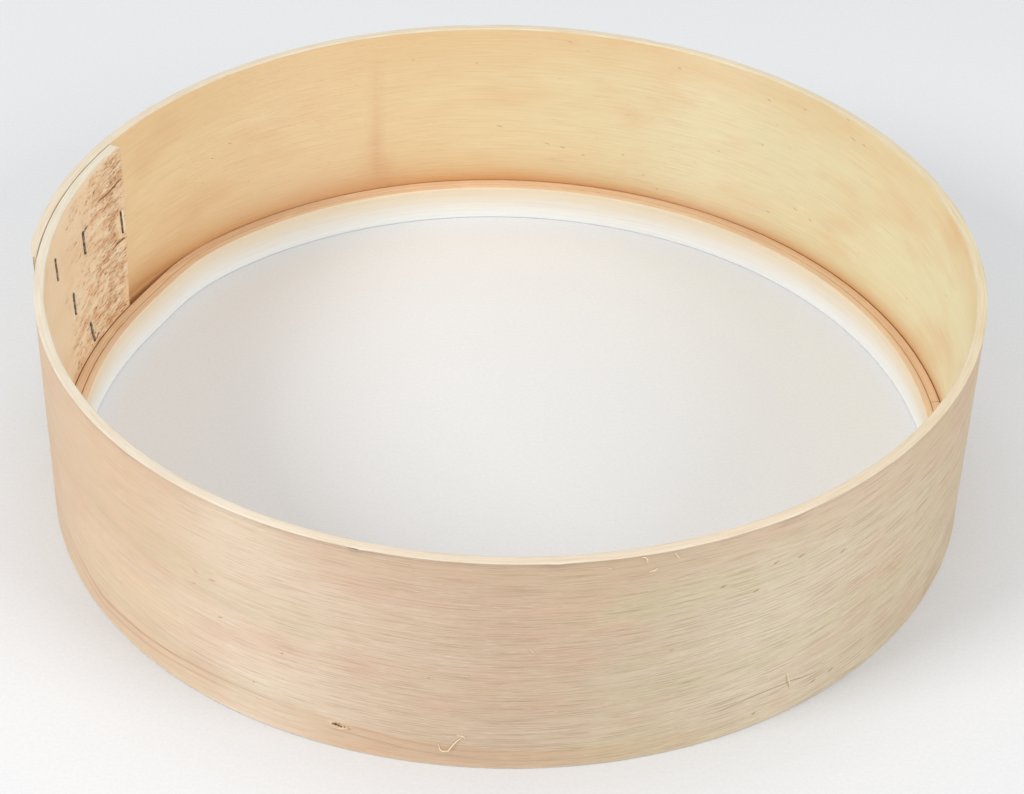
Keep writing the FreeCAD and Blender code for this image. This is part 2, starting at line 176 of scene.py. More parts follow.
class Tree:
    """Short calls that build one material's nodes."""

    def __init__(self, name):
        self.material = bpy.data.materials.new(name)
        self.material.use_nodes = True
        self.nodes = self.material.node_tree.nodes
        self.links = self.material.node_tree.links
        self.shader = self.nodes["Principled BSDF"]

    def feed(self, socket, value):
        """Give a socket a value, or link it."""
        if isinstance(value, bpy.types.NodeSocket):
            self.links.new(value, socket)
        else:
            socket.default_value = value

    def node(self, kind, inputs, output=0, **settings):
        """Add a node, fill its inputs by name or number, and return one of its outputs."""
        node = self.nodes.new(kind)
        for name, value in settings.items():
            setattr(node, name, value)
        for key, value in inputs.items():
            self.feed(node.inputs[key], value)
        return node.outputs[output]

    def place(self):
        """Position on the object, in metres."""
        return self.node("ShaderNodeTexCoord", {}, "Object")

    def mark(self, name):
        """A number kept on the mesh."""
        return self.node("ShaderNodeAttribute", {}, "Fac", attribute_name=name)

    def axis(self, vector, name):
        """One component of a vector."""
        return self.node("ShaderNodeSeparateXYZ", {0: vector}, name)

    def maths(self, operation, first, second=0.0):
        """One sum."""
        return self.node("ShaderNodeMath", {0: first, 1: second}, operation=operation)

    def times(self, *values):
        """Product of several numbers."""
        total = values[0]
        for value in values[1:]:
            total = self.maths("MULTIPLY", total, value)
        return total

    def noise(self, vector, detail=2.0, roughness=0.55, distortion=0.0):
        """Noise with cells one unit across."""
        return self.node("ShaderNodeTexNoise", {
            "Vector": vector, "Scale": 1.0, "Detail": detail,
            "Roughness": roughness, "Distortion": distortion}, "Fac")

    def speckle(self, scale, detail):
        """Noise that is alike in every direction, with scale cells to the metre."""
        scaled = self.node("ShaderNodeVectorMath", {0: self.place(), "Scale": scale},
                           operation="SCALE")
        return self.noise(scaled, detail)

    def level(self, value, low, high):
        """0 at low and 1 at high, with a smooth step between."""
        return self.node("ShaderNodeMapRange", {"Value": value, "From Min": low, "From Max": high},
                         interpolation_type="SMOOTHSTEP")

    def ramp(self, value, stops):
        """Colour from a value, through (position, colour) stops."""
        node = self.nodes.new("ShaderNodeValToRGB")
        self.links.new(value, node.inputs[0])
        elements = node.color_ramp.elements
        for _ in range(len(stops) - 2):
            elements.new(0.5)
        for element, (position, colour) in zip(elements, stops):
            element.position = position
            element.color = colour
        return node.outputs["Color"]

    def mix(self, amount, first, second, blend="MIX"):
        """Blend two colours."""
        return self.node("ShaderNodeMix", {"Factor": amount, 6: first, 7: second}, 2,
                         data_type="RGBA", blend_type=blend)

    def shade(self, wood, pattern, low, high, dark, amount):
        """Darken wood where a pattern is low."""
        tone = self.ramp(pattern, [(low, linear(*dark)), (high, linear(*WHITE))])
        return self.mix(amount, wood, tone, "MULTIPLY")

    def bump(self, height, strength, distance, normal=None):
        """Surface relief from a height."""
        inputs = {"Height": height, "Strength": strength, "Distance": distance}
        if normal is not None:
            inputs["Normal"] = normal
        return self.node("ShaderNodeBump", inputs, "Normal")

    def grain_tangent(self):
        """Direction of the fibres, round the hoop."""
        return self.node("ShaderNodeTangent", {}, "Tangent", direction_type="RADIAL", axis="Z")

    def finish(self, **sockets):
        """Fill the shader's sockets and return the material."""
        for name, value in sockets.items():
            self.feed(self.shader.inputs[name.replace("_", " ")], value)
        return self.material


class Grain:
    """Noise drawn out along the fibres, from a length along them and a height across."""

    def __init__(self, tree, along, across, layer):
        self.tree, self.along, self.across, self.layer = tree, along, across, layer

    def __call__(self, length, width, detail=2.0, distortion=0.0):
        """Cells of length by width metres."""
        tree = self.tree
        vector = tree.node("ShaderNodeCombineXYZ", {
            "X": tree.maths("MULTIPLY", self.along, 1 / length),
            "Y": tree.maths("MULTIPLY", self.across, 1 / width),
            "Z": self.layer})
        return tree.noise(vector, detail, 0.55, distortion)


# --- wood --------------------------------------------------------------------------------

def turn_ramp(tree, stops):
    """Colour along the strip, from (angle, sRGB shade) stops."""
    span = OUTER_END - INNER_END
    return tree.ramp(tree.mark("turn"), [
        ((angle - INNER_END) / span, linear(*shade)) for angle, shade in stops])


# Colours of the outer face along the strip. The paler stop at 240 is in part painted sheen.
OUTSIDE_SHADES = [(195, (218, 192, 162)), (225, (224, 196, 164)), (240, (226, 209, 184)),
                  (256, (216, 192, 167)), (271, (202, 178, 152)), (285, (205, 186, 159)),
                  (302, (214, 198, 172)), (335, (207, 189, 158))]
# Colours of the inner face along the strip, in part painted light.
# The stops at 468 and 510 are painted paler in place of fill light; 370 is yellower for stronger light.
INSIDE_SHADES = [(165, (244, 217, 184)), (192, (242, 216, 182)), (370, (236, 228, 188)),
                 (425, (228, 216, 176)), (468, (233, 206, 160)), (510, (240, 212, 166))]
RIM_SHADES = [(165, (222, 214, 196)), (225, (221, 210, 192)), (300, (221, 205, 182)),
              (360, (219, 205, 172)), (425, (220, 208, 182)), (520, (222, 210, 188))]


def wall_patterns(tree, inside):
    """Patterns of the veneer's grain, drawn out along the strip."""
    drifted = tree.maths("ADD", tree.mark("height"), tree.mark("drift"))
    grain = Grain(tree, tree.mark("along"), drifted, tree.times(inside, 9.0))
    return SimpleNamespace(
        drifted=drifted,
        figure=grain(0.07, 0.011, 3.0, 0.4),
        clouds=grain(0.05, 0.022, 2.0),
        olive=tree.level(grain(0.09, 0.018, 2.0), 0.48, 0.70),
        streaks=grain(0.05, 0.0007, 3.0),
        fibres=grain(0.016, 0.00036, 2.0),
        pores=tree.level(grain(0.0032, 0.00026, 1.0), 0.68, 0.78),
        glints=tree.level(grain(0.0060, 0.00030, 1.0), 0.60, 0.72),
        flecks=tree.level(grain(0.0024, 0.0011, 1.0), 0.765, 0.80))


def veneer_ground(tree, grain, inside):
    """Grey-pink wood outside and golden wood inside, with olive, pinker and paler patches."""
    wood = tree.mix(inside, turn_ramp(tree, OUTSIDE_SHADES), turn_ramp(tree, INSIDE_SHADES))
    olive = tree.times(grain.olive, tree.maths("SUBTRACT", 0.5, tree.times(inside, 0.5)))
    wood = tree.mix(olive, wood, linear(206, 193, 156))
    pinker = tree.mix(inside, linear(212, 172, 146), linear(226, 182, 134))
    wood = tree.mix(tree.times(tree.level(grain.clouds, 0.45, 0.75), 0.50), wood, pinker)
    paler = tree.mix(inside, linear(222, 206, 182), linear(236, 216, 172))
    return tree.mix(tree.times(tree.level(grain.figure, 0.50, 0.80), 0.45), wood, paler)


def fibre_share(tree):
    """How strong the fine fibres are: stronger in two steps along the strip."""
    turn = tree.mark("turn")
    coarser = tree.times(tree.level(turn, 0.14, 0.27), 0.35)
    coarsest = tree.times(tree.level(turn, 0.30, 0.40), 0.28)
    return tree.maths("ADD", tree.maths("ADD", 0.35, coarser), coarsest)


def veneer_fibres(tree, wood, grain, inside):
    """Streaks, fine fibres, pores, glints and flecks along the grain, fainter inside."""
    coarse = tree.mix(inside, linear(240, 234, 226), linear(248, 242, 234))
    streak_tone = tree.mix(tree.level(grain.streaks, 0.30, 0.62), coarse, linear(*WHITE))
    wood = tree.mix(0.45, wood, streak_tone, "MULTIPLY")
    fine = tree.mix(inside, linear(221, 212, 201), linear(249, 245, 240))
    fibre_tone = tree.mix(tree.level(grain.fibres, 0.34, 0.52), fine, linear(*WHITE))
    wood = tree.mix(fibre_share(tree), wood, fibre_tone, "MULTIPLY")
    pore_share = tree.maths("SUBTRACT", 0.24, tree.times(inside, 0.16))
    wood = tree.mix(tree.times(grain.pores, pore_share), wood, linear(150, 112, 76))
    glint_share = tree.maths("SUBTRACT", 0.34, tree.times(inside, 0.28))
    wood = tree.mix(tree.times(grain.glints, glint_share), wood, linear(240, 226, 204))
    return tree.mix(tree.times(grain.flecks, 0.35), wood, linear(170, 118, 72))


def slow_tones(tree, wood, grain, inside):
    """Warmer wood under the rim, painted warm shade above the foot hoops, and the faint upright stain.
    """
    under_rim = tree.mix(inside, linear(200, 164, 130), linear(226, 184, 130))
    wood = tree.mix(tree.mark("upper"), wood, under_rim)
    # Painted shade: warmer, darker wood just above the foot hoops, where the corner shades the wall
    wood = tree.mix(tree.mark("shade_above_hoops"), wood, linear(206, 148, 90))
    stain = tree.times(tree.mark("stain"), tree.level(grain.streaks, 0.20, 0.62))
    return tree.mix(stain, wood, linear(206, 152, 108))


def growth_lines(tree, wood, grain):
    """The growth line outside near the foot, a fainter one below it and warmer wood there."""
    over_line = tree.maths("SUBTRACT", grain.drifted, tree.mark("growth"))
    below = tree.times(tree.level(over_line, 0.0022, -0.0008), tree.mark("foot_band"),
                       tree.level(grain.figure, 0.1, 0.6))
    wood = tree.mix(below, wood, linear(212, 170, 132))
    for drop, strength in ((0.0, 1.0), (0.0030, 0.6)):
        off_line = tree.maths("ABSOLUTE", tree.maths("ADD", over_line, drop))
        broken = tree.times(tree.level(grain.streaks, 0.2, 0.6), tree.level(grain.clouds, 0.30, 0.55))
        on_line = tree.times(tree.level(off_line, 0.00075, 0.00005), tree.mark("growth_line"),
                             broken, strength)
        wood = tree.mix(on_line, wood, linear(176, 128, 92))
    return wood


def crack_share(tree, height):
    """1 on the long fine crack outside, 0 off it."""
    distance = tree.maths("ABSOLUTE", tree.maths("SUBTRACT", height, tree.mark("crack_level")))
    return tree.times(tree.level(distance, 0.00032, 0.00008), tree.mark("crack"))


def inside_marks(tree, wood, height):
    """The splits' painted shade, and painted shade and light by the staples, over the hoops and in the
    gap.
    """
    # The splits painted dark brown: painted shade in their grooves
    wood = tree.mix(split_share(tree, height), wood, linear(74, 46, 26))
    # Painted shadow in a thin line on one side of each staple's crown
    wood = tree.mix(tree.times(tree.mark("staple_shadow"), 0.85), wood, linear(92, 60, 36))
    # Painted highlight: the raised lip on the other side of each crown painted pale
    wood = tree.mix(tree.times(tree.mark("lip"), 0.8), wood, linear(252, 242, 220))
    # Painted shadow: the wall darkened just above the hoops' top, along their join
    seam_shadow = tree.times(tree.level(height, HOOP_TOP + 0.00025, HOOP_TOP), tree.mark("seam_shadow"))
    wood = tree.mix(seam_shadow, wood, linear(*PAINTED_SEAM_SHADOW))
    # Painted light: the wall in the shaded gap behind the bridging hoops painted paler
    return tree.mix(tree.mark("gap"), wood, linear(244, 194, 136))


def rim_wood(tree, inside):
    """Cream wood of the strip's cut edges, with faint lines along the strip."""
    plies = tree.noise(tree.node("ShaderNodeCombineXYZ", {
        "X": tree.maths("MULTIPLY", tree.mark("along"), 60.0),
        "Y": tree.maths("MULTIPLY", inside, 7.0)}), 3.0)
    return tree.shade(turn_ramp(tree, RIM_SHADES), plies, 0.30, 0.60, (234, 216, 190), 0.6)


def wall_material():
    """Bare veneer: grey-pink outside, golden inside, cream on the cut edges."""
    tree = Tree("veneer")
    inside, height = tree.mark("inside"), tree.mark("height")
    grain = wall_patterns(tree, inside)
    cracked = crack_share(tree, height)
    wood = veneer_ground(tree, grain, inside)
    wood = veneer_fibres(tree, wood, grain, inside)
    wood = slow_tones(tree, wood, grain, inside)
    wood = growth_lines(tree, wood, grain)
    wood = tree.mix(cracked, wood, linear(132, 98, 68))
    wood = tree.mix(tree.mark("knot"), wood, linear(214, 184, 148))
    wood, torn_relief = torn_wood(tree, wood, height)
    wood = inside_marks(tree, wood, height)
    wood = tree.mix(tree.mark("rim"), wood, rim_wood(tree, inside))

    raised = tree.maths("ADD", tree.times(grain.streaks, 0.5), tree.times(grain.fibres, 0.6))
    sunk = tree.maths("ADD", tree.times(grain.pores, 0.4), tree.times(cracked, 0.4))
    normal = tree.bump(tree.maths("SUBTRACT", raised, sunk), 0.5, 0.00035)
    normal = tree.bump(torn_relief, 0.5, 0.0006, normal)
    roughness = tree.node("ShaderNodeMapRange", {
        "Value": grain.fibres, "To Min": 0.42, "To Max": 0.56})
    return tree.finish(Base_Color=wood, Roughness=roughness, Normal=normal, Anisotropic=0.95,
                       Anisotropic_Rotation=0.25, Tangent=tree.grain_tangent(),
                       Specular_IOR_Level=0.8)


def torn_wood(tree, wood, height):
    """Lap face with its surface torn off: pale wood, brown flecks along the grain."""
    torn = tree.mark("torn")
    grain = Grain(tree, tree.mark("along"), height, 4.0)
    patches = grain(0.010, 0.0034, 3.0)
    specks = grain(0.0038, 0.00052, 2.0)
    deep = grain(0.0030, 0.00044, 0.0)
    bare = tree.ramp(patches, [(0.35, linear(232, 186, 138)), (0.62, linear(243, 218, 184))])
    wood = tree.mix(tree.level(torn, 0.0, 0.5), wood, bare)
    clumped = tree.maths("ADD", tree.times(torn, 0.12), tree.times(patches, -0.40))
    brown = tree.level(tree.maths("ADD", specks, clumped), 0.42, 0.50)
    wood = tree.mix(tree.times(brown, tree.level(torn, 0.0, 0.25), 0.55), wood, linear(204, 144, 92))
    dark = tree.level(tree.maths("ADD", deep, clumped), 0.54, 0.60)
    wood = tree.mix(tree.times(dark, tree.level(torn, 0.05, 0.3), 0.75), wood, linear(146, 94, 56))
    relief = tree.maths("SUBTRACT", patches, tree.maths("ADD", tree.times(brown, 0.6), dark))
    return wood, tree.times(relief, tree.level(torn, 0.0, 0.4))


def split_share(tree, height):
    """1 inside a split of the inner end, 0 on whole wood."""
    distance = tree.maths("ABSOLUTE", tree.maths("SUBTRACT", height, tree.mark("split_level")))
    width = tree.mark("split_width")
    share = tree.maths("DIVIDE", distance, tree.maths("MAXIMUM", width, 1e-6))
    return tree.times(tree.level(share, 1.3, 0.7), tree.level(width, 0.00004, 0.00010))


def hoop_material(name, top_shade, face_shade, pale_foot_and_glare, inner_seam_shadow_share):
    """Bare hoop wood: its top edge, its face, and paler wood at its foot, near white as painted glare
    on the inner hoop.
    """
    tree = Tree(name)
    place = tree.place()
    x, y, height = (tree.axis(place, axis) for axis in "XYZ")
    radial = tree.node("ShaderNodeVectorMath", {0: tree.node("ShaderNodeCombineXYZ", {"X": x, "Y": y})},
                       "Value", operation="LENGTH")
    turn = tree.maths("ARCTAN2", x, y)
    along = tree.times(turn, RADIUS)
    face_grain = Grain(tree, along, height, 2.0)
    top_grain = Grain(tree, along, radial, 5.0)
    streaks = face_grain(0.04, 0.0008, 2.0)
    plies = top_grain(0.08, 0.0008, 2.0)
    patches = top_grain(0.012, 0.004, 2.0)

    normal = tree.node("ShaderNodeNewGeometry", {}, "Normal")
    outward = tree.node("ShaderNodeVectorMath", {
        0: normal, 1: tree.node("ShaderNodeVectorMath", {0: place}, operation="NORMALIZE")},
        "Value", operation="DOT_PRODUCT")
    upward = tree.level(tree.axis(normal, "Z"), 0.35, 0.80)
    face = tree.mix(tree.level(height, 0.0, HOOP_TOP), linear(*pale_foot_and_glare), linear(*face_shade))
    top = tree.shade(linear(*top_shade), plies, 0.30, 0.62, (234, 218, 200), 0.7)
    top = tree.mix(tree.times(tree.level(patches, 0.5, 0.8), 0.5), top, linear(242, 214, 176))
    wood = tree.mix(upward, face, top)
    wood = tree.shade(wood, streaks, 0.30, 0.62, (248, 244, 238), 0.6)
    near_top = tree.level(height, HOOP_TOP - 0.0010, HOOP_TOP - 0.0003)
    from_bridge = tree.maths("ABSOLUTE", tree.maths("SUBTRACT", turn, BRIDGE_TURN))
    off_bridge = tree.level(from_bridge, 0.14, 0.20)
    # Painted light: the hoops' outward faces painted paler where they bridge the step, to lighten the
    # shaded gap
    bridge_painted_light = tree.times(tree.level(outward, 0.30, 0.60), tree.maths("SUBTRACT", 1.0, off_bridge))
    wood = tree.mix(bridge_painted_light, wood, linear(240, 200, 150))
    # Painted shadow on the hoops' faces just under their top, along their joins with the wall and each
    # other
    outer_seam_shadow = tree.times(tree.level(outward, 0.60, 0.85), near_top, off_bridge)
    wood = tree.mix(tree.times(outer_seam_shadow, 0.8), wood, linear(*PAINTED_SEAM_SHADOW))
    inner_seam_shadow = tree.times(tree.level(outward, -0.45, -0.75), near_top, inner_seam_shadow_share)
    wood = tree.mix(inner_seam_shadow, wood, linear(180, 124, 76))
    bumps = tree.bump(tree.maths("ADD", streaks, plies), 0.3, 0.00025)
    return tree.finish(Base_Color=wood, Roughness=0.6, Normal=bumps, Specular_IOR_Level=0.35)


def sliver_material():
    """Loose fibres: pale to brown, by each fibre's own tone."""
    tree = Tree("fibre")
    fibre = tree.speckle(2500.0, 2.0)
    pale = tree.ramp(fibre, [(0.3, linear(240, 222, 182)), (0.7, linear(250, 238, 206))])
    brown = tree.ramp(fibre, [(0.3, linear(140, 88, 46)), (0.7, linear(184, 126, 74))])
    wood = tree.mix(tree.mark("tone"), pale, brown)
    wood = tree.mix(tree.level(tree.mark("tone"), 1.05, 1.35), wood, linear(50, 34, 24))
    return tree.finish(Base_Color=wood, Roughness=0.6, Specular_IOR_Level=0.3)


def steel_material(name, dull, bright):
    """Drawn staple wire, tarnished in patches."""
    tree = Tree(name)
    tarnish = tree.speckle(900.0, 3.0)
    drawn = tree.noise(tree.node("ShaderNodeVectorMath", {0: tree.place(), 1: (4000, 4000, 300)},
                                 operation="MULTIPLY"), 2.0)
    colour = tree.ramp(tarnish, [(0.40, linear(*dull)), (0.60, linear(*bright))])
    roughness = tree.node("ShaderNodeMapRange", {"Value": drawn, "To Min": 0.30, "To Max": 0.5})
    normal = tree.bump(drawn, 0.2, 0.0001)
    return tree.finish(Base_Color=colour, Metallic=1.0, Roughness=roughness, Normal=normal)


def floor_material():
    """Matt pale studio paper."""
    tree = Tree("studio_paper")
    tooth = tree.speckle(900.0, 3.0)
    colour = tree.ramp(tooth, [(0.3, linear(218, 219, 221)), (0.7, linear(223, 224, 226))])
    normal = tree.bump(tooth, 0.05, 0.0002)
    return tree.finish(Base_Color=colour, Roughness=0.9, Normal=normal, Specular_IOR_Level=0.1)


# --- the bent strip ----------------------------------------------------------------------

def unit(angle):
    """Point on the unit circle."""
    return np.array([math.cos(math.radians(angle)), math.sin(math.radians(angle))])


def swing_geometry():
    """Start, switch and centres of the two arcs that carry the wall out past the lap."""
    lap = RADIUS - THICKNESS - LAP_GAP
    straight_offset = SWING_STRAIGHT - lap
    tight_offset = RADIUS - SWING_TIGHT
    between = SWING_STRAIGHT - SWING_TIGHT
    cosine = (between ** 2 - straight_offset ** 2 - tight_offset ** 2) / (
        2 * straight_offset * tight_offset)
    start = SWING_END - math.degrees(math.acos(cosine))
    straight_centre = -straight_offset * unit(start)
    tight_centre = tight_offset * unit(SWING_END)
    line = tight_centre - straight_centre
    meeting = straight_centre + SWING_STRAIGHT * line / np.linalg.norm(line)
    switch = math.degrees(math.atan2(meeting[1], meeting[0])) % 360
    return start, switch, straight_centre, tight_centre


SWING_START, SWING_SWITCH, STRAIGHT_CENTRE, TIGHT_CENTRE = swing_geometry()


def arc_distance(angle, centre, radius):
    """Distance from the axis to an arc with its own centre, at polar angles."""
    ray = np.array([np.cos(np.radians(angle)), np.sin(np.radians(angle))])
    along = centre[0] * ray[0] + centre[1] * ray[1]
    return along + np.sqrt(radius ** 2 - (centre @ centre - along ** 2))


def strip_radius(angle, inset):
    """Distance from the axis to a face of the strip, an inset inside its outer face."""
    straight = arc_distance(angle, STRAIGHT_CENTRE, SWING_STRAIGHT - inset)
    tight = arc_distance(angle, TIGHT_CENTRE, SWING_TIGHT - inset)
    radius = np.where(angle < SWING_START, RADIUS - THICKNESS - LAP_GAP - inset, straight)
    radius = np.where(angle < SWING_SWITCH, radius, tight)
    return np.where(angle < SWING_END, radius, RADIUS - inset)


def outer_face(angle):
    """Outer face of the strip, with the bevel on its outer end."""
    into_bevel = np.clip((angle - (OUTER_END - BEVEL_ANGLE)) / BEVEL_ANGLE, 0, 1)
    return strip_radius(angle, 0.0) - BEVEL_DEPTH * into_bevel


def inner_face(angle):
    """Inner face of the strip, which rides on the inner layer at the lap's outer end."""
    over_lap = arc_distance(angle, STRAIGHT_CENTRE, SWING_STRAIGHT + LAP_GAP)
    return np.where(angle > SWING_START + 360, over_lap, strip_radius(angle, THICKNESS))


def smooth(value, low, high):
    """0 at low and 1 at high, smoothly; low may be the larger."""
    share = np.clip((value - low) / (high - low), 0, 1)
    return share * share * (3 - 2 * share)


def lattice(x, y, seed):
    """Seeded smooth noise between -1 and 1, with cells one unit across."""
    table = np.random.default_rng(seed).uniform(-1, 1, (64, 64))
    column, row = np.floor(x).astype(int), np.floor(y).astype(int)
    across, up = x - column, y - row
    across = across * across * (3 - 2 * across)
    up = up * up * (3 - 2 * up)

    def corner(dx, dy):
        return table[(column + dx) % 64, (row + dy) % 64]

    low = corner(0, 0) * (1 - across) + corner(1, 0) * across
    high = corner(0, 1) * (1 - across) + corner(1, 1) * across
    return low * (1 - up) + high * up


def end_distance(angle):
    """Distance along the lap's inner face from the strip's inner end."""
    return np.radians(angle - INNER_END) * LAP_RADIUS


def torn_share(angle, height):
    """How torn the lap's inner face is: worst near the strip's inner end and low down."""
    along = end_distance(angle)
    ragged = 0.003 * lattice(along * 90, height * 140, 21)
    near_end = smooth(along + ragged, 0.028, 0.004)
    low_down = smooth(height, 0.055, 0.012)
    far = smooth(along + 2 * ragged, 0.070, 0.010) * (0.25 + 0.55 * low_down)
    whole = smooth(along + ragged, 0.0065, 0.0035) * smooth(height, 0.066, 0.060)
    share = np.clip(0.8 * near_end + far, 0, 1) * (1 - 0.75 * whole)
    return share * smooth(angle, 190.0, 178.0) * smooth(height, HEIGHT - 0.0005, HEIGHT - 0.003)


def split_line(angle, level):
    """Height of a split's line, which drifts with the grain."""
    return level + 0.0003 * np.sin(end_distance(angle) * 420 + level * 900)


def split_width(angle, length, half_width):
    """Half-width of a split, from its mouth to its tip."""
    return half_width * np.clip(1 - end_distance(angle) / length, 0, 1) ** 0.25


def split_depth(angle, height):
    """Depth of the open splits."""
    depth = np.zeros_like(height)
    for level, length, half_width in SPLITS:
        width = split_width(angle, length, half_width)
        gap = np.abs(height - split_line(angle, level))
        depth = np.maximum(depth, np.where(width > 0, smooth(gap, width + 0.0002, width * 0.5), 0))
    return 0.0010 * depth


def nearest_split(angle, height):
    """Line and half-width of the split nearest to each point."""
    upper = height > (SPLITS[0][0] + SPLITS[1][0]) / 2
    levels = [split_line(angle, split[0]) for split in SPLITS]
    widths = [split_width(angle, split[1], split[2]) for split in SPLITS]
    return np.where(upper, *levels), np.where(upper, *widths)


def beside_staples(angle, height, offset, half_width):
    """1 on a line beside each crown, offset toward the strip's inner end, falling to 0 off it."""
    total = np.zeros_like(height)
    for staple_angle, staple_height, lean in STAPLES:
        rise = height - staple_height
        across = np.radians(angle - staple_angle) * LAP_RADIUS - rise * math.tan(math.radians(lean))
        reach = smooth(np.abs(rise), CROWN / 2 + 0.0008, CROWN / 2 - 0.0004)
        total += np.exp(-((across + offset) / half_width) ** 2) * reach
    return total


def knot_ring(angle, height):
    """Distance from the middle of the pin knot: 1 on its outline."""
    across = np.radians(angle - KNOT_ANGLE) * RADIUS / (KNOT_LENGTH / 2)
    return np.hypot(across, (height - KNOT_HEIGHT) / KNOT_HALF_HEIGHT)


def knot_relief(angle, height):
    """Pin knot: a pitted lens with a raised lip."""
    ring = knot_ring(angle, height)
    return 0.00022 * np.exp(-((ring - 1.1) / 0.35) ** 2) - 0.00045 * smooth(ring, 0.95, 0.35)


def strip_columns():
    """Angles of the strip's columns, close together where the wood has fine relief."""
    bands = [np.arange(INNER_END, 175.5, 0.26), np.arange(175.5, OUTER_END - 8, 1.6),
             np.arange(OUTER_END - 8, OUTER_END, 0.5), [OUTER_END],
             np.arange(KNOT_ANGLE - 1.6, KNOT_ANGLE + 1.6, 0.12)]
    bands += [np.arange(max(angle - 0.9, INNER_END), angle + 0.9, 0.1) for angle, _, _ in STAPLES]
    return np.unique(np.round(np.concatenate(bands), 3))


def inside_rows():
    """Heights of the inner face's rows, close together at the splits."""
    rows = [np.linspace(EDGE_ROUND, HEIGHT - EDGE_ROUND, 130)]
    rows += [level + np.linspace(-0.0010, 0.0010, 11) for level, _, _ in SPLITS]
    return np.unique(np.round(np.concatenate(rows), 6))


def outside_rows():
    """Heights of the outer face's rows, close together at the knot."""
    rows = [np.linspace(EDGE_ROUND, HEIGHT - EDGE_ROUND, 34),
            KNOT_HEIGHT + np.linspace(-0.0018, 0.0018, 13)]
    return np.unique(np.round(np.concatenate(rows), 6))


def section():
    """The strip's section as a ring: height, inset from the face, share of the way in, kind."""
    low, high, depth = EDGE_ROUND, HEIGHT - EDGE_ROUND, EDGE_ROUND
    bends = [math.radians(angle) for angle in (22.5, 45, 67.5)]
    ring = [(z, 0.0, 0.0, "outside") for z in outside_rows()]
    ring += [(high + depth * math.sin(a), depth * (1 - math.cos(a)), 0.0, "rim") for a in bends]
    ring += [(HEIGHT, depth, 0.0, "rim"), (HEIGHT, 0.0, 0.35, "rim"), (HEIGHT, 0.0, 0.65, "rim"),
             (HEIGHT, -depth, 1.0, "rim")]
    ring += [(high + depth * math.cos(a), -depth * (1 - math.sin(a)), 1.0, "rim") for a in bends]
    ring += [(z, 0.0, 1.0, "inside") for z in inside_rows()[::-1]]
    ring += [(low - depth * math.sin(a), -depth * (1 - math.cos(a)), 1.0, "rim") for a in bends]
    ring += [(0.0, -depth, 1.0, "rim"), (0.0, 0.0, 0.5, "rim"), (0.0, depth, 0.0, "rim")]
    ring += [(low - depth * math.cos(a), depth * (1 - math.sin(a)), 0.0, "rim") for a in bends]
    return ring


def outside_relief(angle, height):
    """How far the outer face stands in: slow unevenness, ridges of grain and the knot."""
    along = np.radians(angle) * RADIUS
    ridges = 0.00003 * lattice(along * 50, height * 450, 5)
    slow = 0.00008 * lattice(along * 12, height * 30, 6)
    return 0.00014 + ridges + slow - knot_relief(angle, height)


def inside_relief(angle, height):
    """How far the inner face stands out: slow unevenness, torn wood, dents and splits."""
    along = np.radians(angle) * RADIUS
    slow = 0.00010 * lattice(along * 12, height * 25, 7)
    rough = lattice(along * 150, height * 800, 11) + 0.5 * lattice(along * 300, height * 1300, 12)
    above_hoop = smooth(height, HOOP_TOP + 0.0002, HOOP_TOP + 0.0025)
    on_lap = smooth(angle, 192.0, 186.0)
    off_lap = smooth(angle, 186.0, 192.0) * smooth(angle, SWING_START + 360, SWING_START + 350)
    torn = 0.00018 * torn_share(angle, height) * rough
    dent = 0.00030 * beside_staples(angle, height, 0.0, 0.00075)
    lip = 0.00022 * beside_staples(angle, height, 0.0009, 0.00035)
    marks = dent - lip + split_depth(angle, height)
    return above_hoop * (slow * off_lap + on_lap * (torn - marks))


def rim_nicks(angle):
    """How far the rim dips: slow waves and a few small nicks."""
    along = np.radians(angle) * RADIUS
    slow = 0.00010 * (1 + lattice(along * 22, along * 0, 31)) / 2
    nick = 0.00035 * smooth(lattice(along * 160, along * 0, 32), 0.72, 0.98)
    return slow + nick


def rounded_end(angle, height):
    """Heights near the inner end's top corner, brought down to round it."""
    into = np.clip(END_CORNER - end_distance(angle), 0, END_CORNER)
    drop = END_CORNER - np.sqrt(END_CORNER ** 2 - into ** 2)
    return np.minimum(height, HEIGHT - drop - (HEIGHT - height) * 0.2)


def ragged_ends(angle, height):
    """Angles shifted a little at the strip's two ends, so that neither is cut dead straight."""
    lean = np.clip(INNER_END + LEAN * smooth(height, 0.060, 0.010) - angle, 0, None)
    first = smooth(end_distance(angle), 0.0016, 0.0) * (1 + lattice(height * 700, height * 90, 41))
    last = smooth(OUTER_END - angle, 0.8, 0.0) * (1 + lattice(height * 500, height * 70, 42))
    return angle + lean + np.degrees(0.00022 / RADIUS) * (first - last)


def rows_to_points(angles, ring):
    """Points of the whole strip, row by row."""
    outer, inner = outer_face(angles), inner_face(angles)
    dip = rim_nicks(angles)
    points = []
    for height, inset, share, kind in ring:
        level = np.full_like(angles, height)
        radius = outer + (inner - outer) * share - inset
        if kind == "outside":
            radius = radius - outside_relief(angles, level)
        elif kind == "inside":
            radius = radius - inside_relief(angles, level)
        elif height > HEIGHT / 2:
            level = level - dip * (0.6 + 0.4 * math.cos(math.pi * share))
        level = rounded_end(angles, level)
        turned = np.radians(ragged_ends(angles, level))
        points.append(np.stack([radius * np.cos(turned), radius * np.sin(turned), level], axis=1))
    return np.array(points)


def shade_above_hoops_share(angle, height):
    """Painted warm shade on the inner face just above the foot hoops: half as much on the lap's face.
    """
    decay = 0.0036 + 0.0042 * smooth(angle, 420, 480)
    shade_above_hoops = 0.85 * np.exp(-np.clip(height - HOOP_TOP, 0, 1) / decay)
    return shade_above_hoops * (smooth(angle, 186, 196) + 0.5 * smooth(angle, 205, 190))


